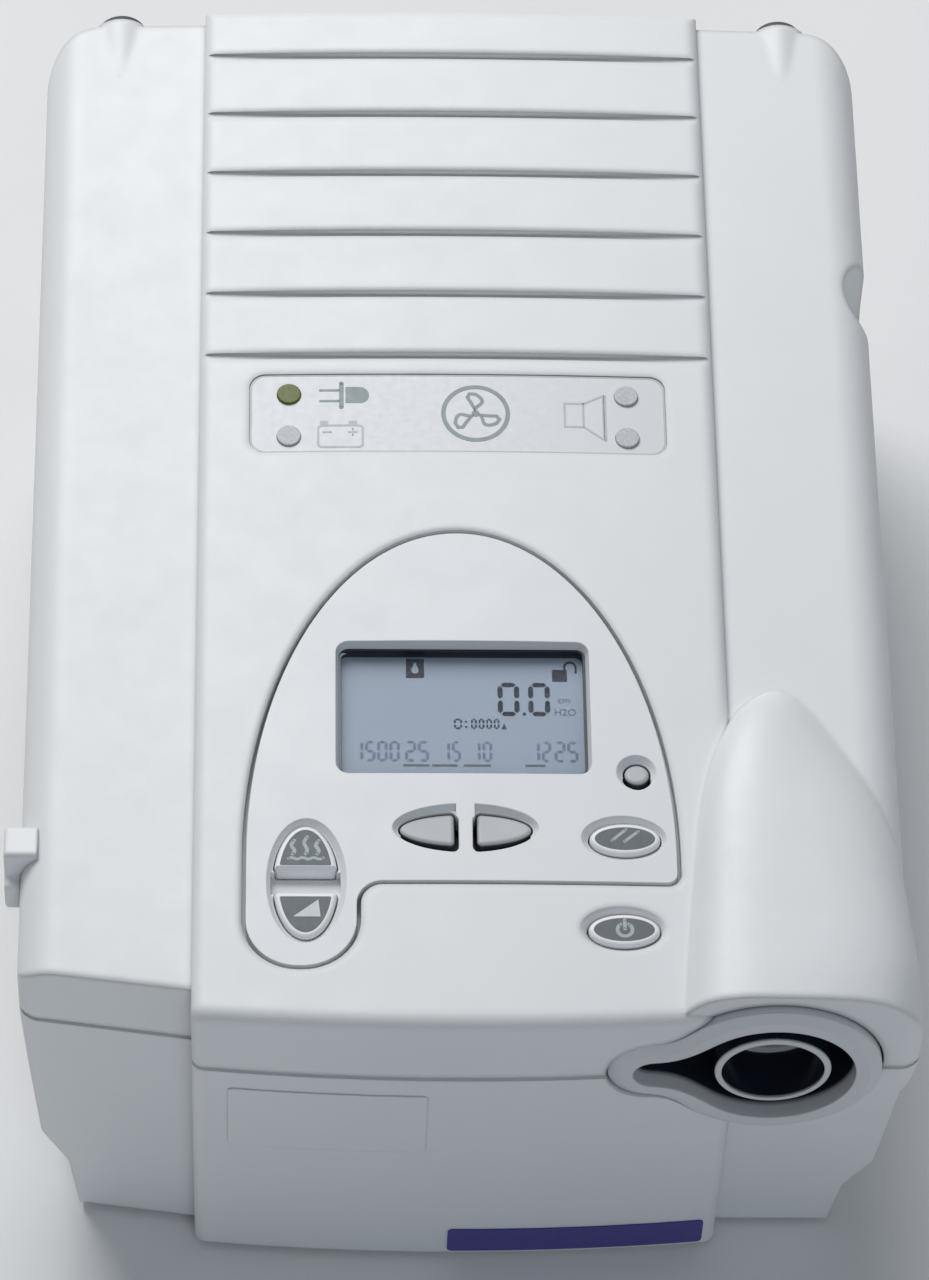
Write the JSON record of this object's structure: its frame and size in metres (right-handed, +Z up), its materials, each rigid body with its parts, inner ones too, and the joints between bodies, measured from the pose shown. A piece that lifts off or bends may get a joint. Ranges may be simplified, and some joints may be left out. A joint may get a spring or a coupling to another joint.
{
  "type": "cpap machine",
  "caption": "Desktop CPAP machine: white case with a grooved raised panel, display and keys on top, a hump over the breathing port, and a blower and boards inside.",
  "frame": {"origin": "on the table, under the middle of the case", "axes": "+X to the machine's right as seen from its front, +Y from the front to the back, +Z up"},
  "size_m": [0.1728, 0.2468, 0.112],
  "materials": {
    "case_white": "fine satin moulded",
    "panel_white": "fine satin moulded",
    "key_white": "satin moulded",
    "inlay_grey": "printed satin",
    "port_white": "smooth moulded",
    "window_clear": "clear polished",
    "lcd_blue_grey": "smooth",
    "backlight_white": "satin",
    "label_grey": "printed film",
    "light_green": "domed lens",
    "light_clear": "domed lens",
    "strip_blue": "printed film",
    "plate_white": "smooth",
    "rubber_grey": "matte",
    "rubber_dark": "matte",
    "mat_silicone": "translucent matte",
    "board_green": "solder mask",
    "component_black": "moulded",
    "connector_black": "moulded",
    "pin_brass": "plated",
    "steel": "bright",
    "core_steel": "lacquered",
    "magnet": "ground",
    "winding_copper": "enamelled wire",
    "duct_grey": "moulded",
    "impeller_white": "moulded",
    "foam_grey": "open-cell foam",
    "filter_white": "pleated fibre",
    "tube_clear": "translucent",
    "ribbon_grey": "flat cable"
  },
  "bodies": {
    "root": {"ac_inlet": "connector_black", "ac_pins": "pin_brass", "blower_mounts": "rubber_dark", "bottom_enclosure": "case_white", "buzzer": "component_black", "case_screws": "steel", "control_board": "board_green", "control_panel": "panel_white", "data_connector": "connector_black", "dc_inlet": "connector_black", "dc_pin": "pin_brass", "feet": "rubber_dark", "fine_filter": "filter_white", "flow_sensor": "component_black", "foam_filter": "foam_grey", "front_label": "strip_blue", "front_plate": "plate_white", "indicator_label": "label_grey", "intake_duct": "duct_grey", "key_switches": "component_black", "keypad_mat": "mat_silicone", "lcd_backlight": "backlight_white", "lcd_module": "lcd_blue_grey", "lcd_window": "window_clear", "main_board": "board_green", "main_components": "component_black", "mains_light": "light_green", "motor_bearings": "steel", "motor_can": "steel", "motor_stator": "winding_copper", "outlet_collar": "case_white", "outlet_duct": "duct_grey", "outlet_port": "port_white", "panel_ribbon": "ribbon_grey", "power_board": "board_green", "power_components": "component_black", "pressure_tube": "tube_clear", "rear_bumpers": "rubber_grey", "side_clip": "case_white", "status_lights": "light_clear", "top_cover": "case_white", "transformer": "core_steel", "volute_lower": "duct_grey", "volute_upper": "duct_grey"},
    "humidifier_key": {"humidifier_key": "key_white", "humidifier_inlay": "inlay_grey"},
    "ramp_key": {"ramp_key": "key_white", "ramp_inlay": "inlay_grey"},
    "left_key": {"left_key": "key_white"},
    "right_key": {"right_key": "key_white"},
    "light_key": {"light_key": "key_white"},
    "silence_key": {"silence_key": "key_white", "silence_inlay": "inlay_grey"},
    "standby_key": {"standby_key": "key_white", "standby_inlay": "inlay_grey"},
    "rotor": {"impeller": "impeller_white", "rotor_magnet": "magnet", "motor_shaft": "steel"},
    "filter_cap": {"filter_cap": "case_white"}
  },
  "joints": [
    {"name": "humidifier_press", "type": "slide", "parent": "root", "child": "humidifier_key", "axis": [0, 0.1045, -0.9945], "range_m": [0, 0.0008], "stiffness_N_per_m": 600, "springref_m": -0.0005},
    {"name": "ramp_press", "type": "slide", "parent": "root", "child": "ramp_key", "axis": [0, 0.1045, -0.9945], "range_m": [0, 0.0008], "stiffness_N_per_m": 600, "springref_m": -0.0005},
    {"name": "left_press", "type": "slide", "parent": "root", "child": "left_key", "axis": [0, 0.1045, -0.9945], "range_m": [0, 0.0008], "stiffness_N_per_m": 600, "springref_m": -0.0005},
    {"name": "right_press", "type": "slide", "parent": "root", "child": "right_key", "axis": [0, 0.1045, -0.9945], "range_m": [0, 0.0008], "stiffness_N_per_m": 600, "springref_m": -0.0005},
    {"name": "light_press", "type": "slide", "parent": "root", "child": "light_key", "axis": [0, 0.1045, -0.9945], "range_m": [0, 0.0008], "stiffness_N_per_m": 600, "springref_m": -0.0005},
    {"name": "silence_press", "type": "slide", "parent": "root", "child": "silence_key", "axis": [0, 0.1045, -0.9945], "range_m": [0, 0.0008], "stiffness_N_per_m": 600, "springref_m": -0.0005},
    {"name": "standby_press", "type": "slide", "parent": "root", "child": "standby_key", "axis": [0, 0.1045, -0.9945], "range_m": [0, 0.0008], "stiffness_N_per_m": 600, "springref_m": -0.0005},
    {"name": "blower_spin", "type": "hinge", "parent": "root", "child": "rotor", "pos_m": [0.018, 0.024, 0.039], "axis": [0, 0, 1], "continuous": true},
    {"name": "filter_cap_pull", "type": "slide", "parent": "root", "child": "filter_cap", "axis": [0, 1, 0], "range_m": [0, 0.012]}
  ]
}
